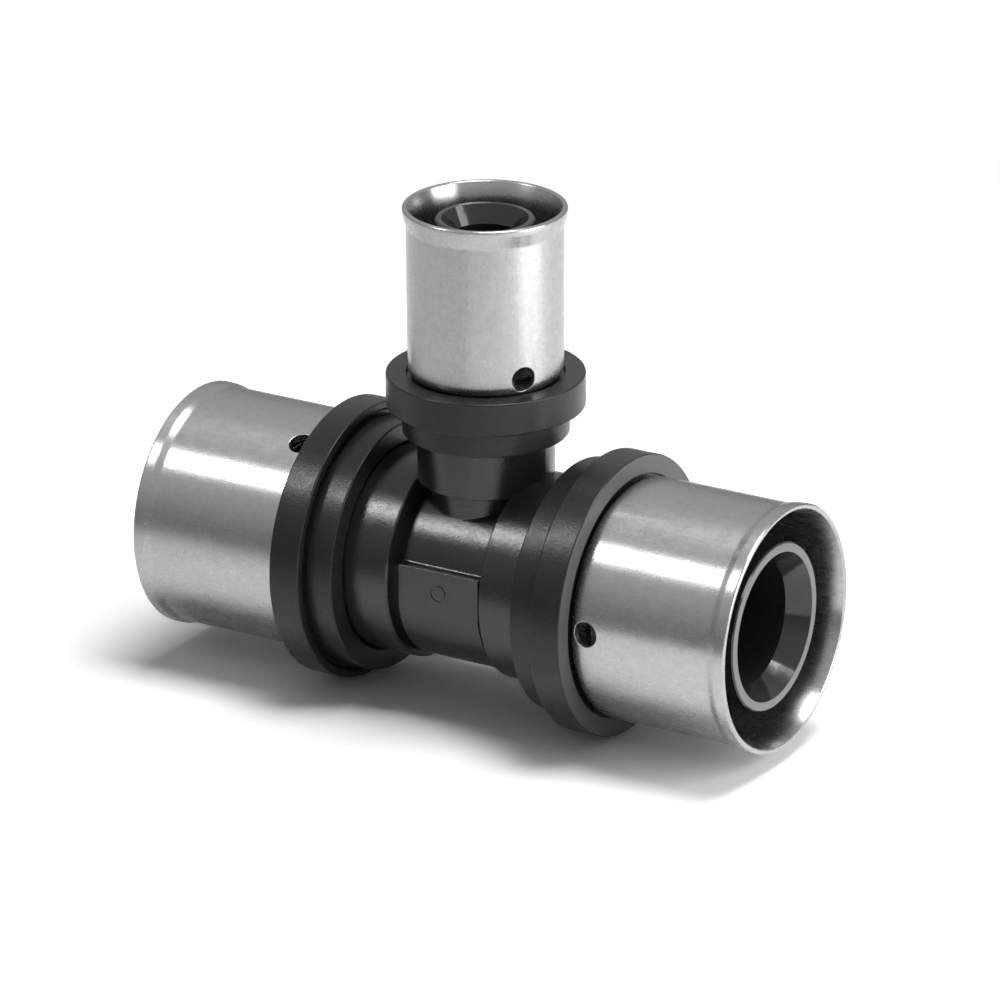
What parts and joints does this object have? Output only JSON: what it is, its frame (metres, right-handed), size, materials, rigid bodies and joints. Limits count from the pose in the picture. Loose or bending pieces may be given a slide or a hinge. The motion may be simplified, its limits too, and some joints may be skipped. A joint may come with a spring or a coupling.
{
  "type": "reducing tee",
  "caption": "Press-fit reducing tee for multilayer pipe: black moulded body with a straight run and a smaller branch, stainless press sleeves over ribbed inserts.",
  "frame": {"origin": "where the centre line of the run crosses the centre line of the branch", "axes": "+X along the run, towards the right port; +Z along the branch, away from the run; the flat label of the hub faces -Y"},
  "size_m": [0.0792, 0.0332, 0.0605],
  "materials": {
    "body": "satin moulded engineering plastic, finely grained",
    "retaining_ring": "matte moulded plastic",
    "press_sleeve": "satin deep-drawn stainless steel",
    "seal": "black elastomer, lightly greased"
  },
  "bodies": {
    "root": {"tee_body": "body", "right_ring": "retaining_ring", "right_sleeve": "press_sleeve", "right_inner_seal": "seal", "right_outer_seal": "seal", "left_ring": "retaining_ring", "left_sleeve": "press_sleeve", "left_inner_seal": "seal", "left_outer_seal": "seal", "branch_ring": "retaining_ring", "branch_sleeve": "press_sleeve", "branch_inner_seal": "seal", "branch_outer_seal": "seal"}
  },
  "joints": []
}
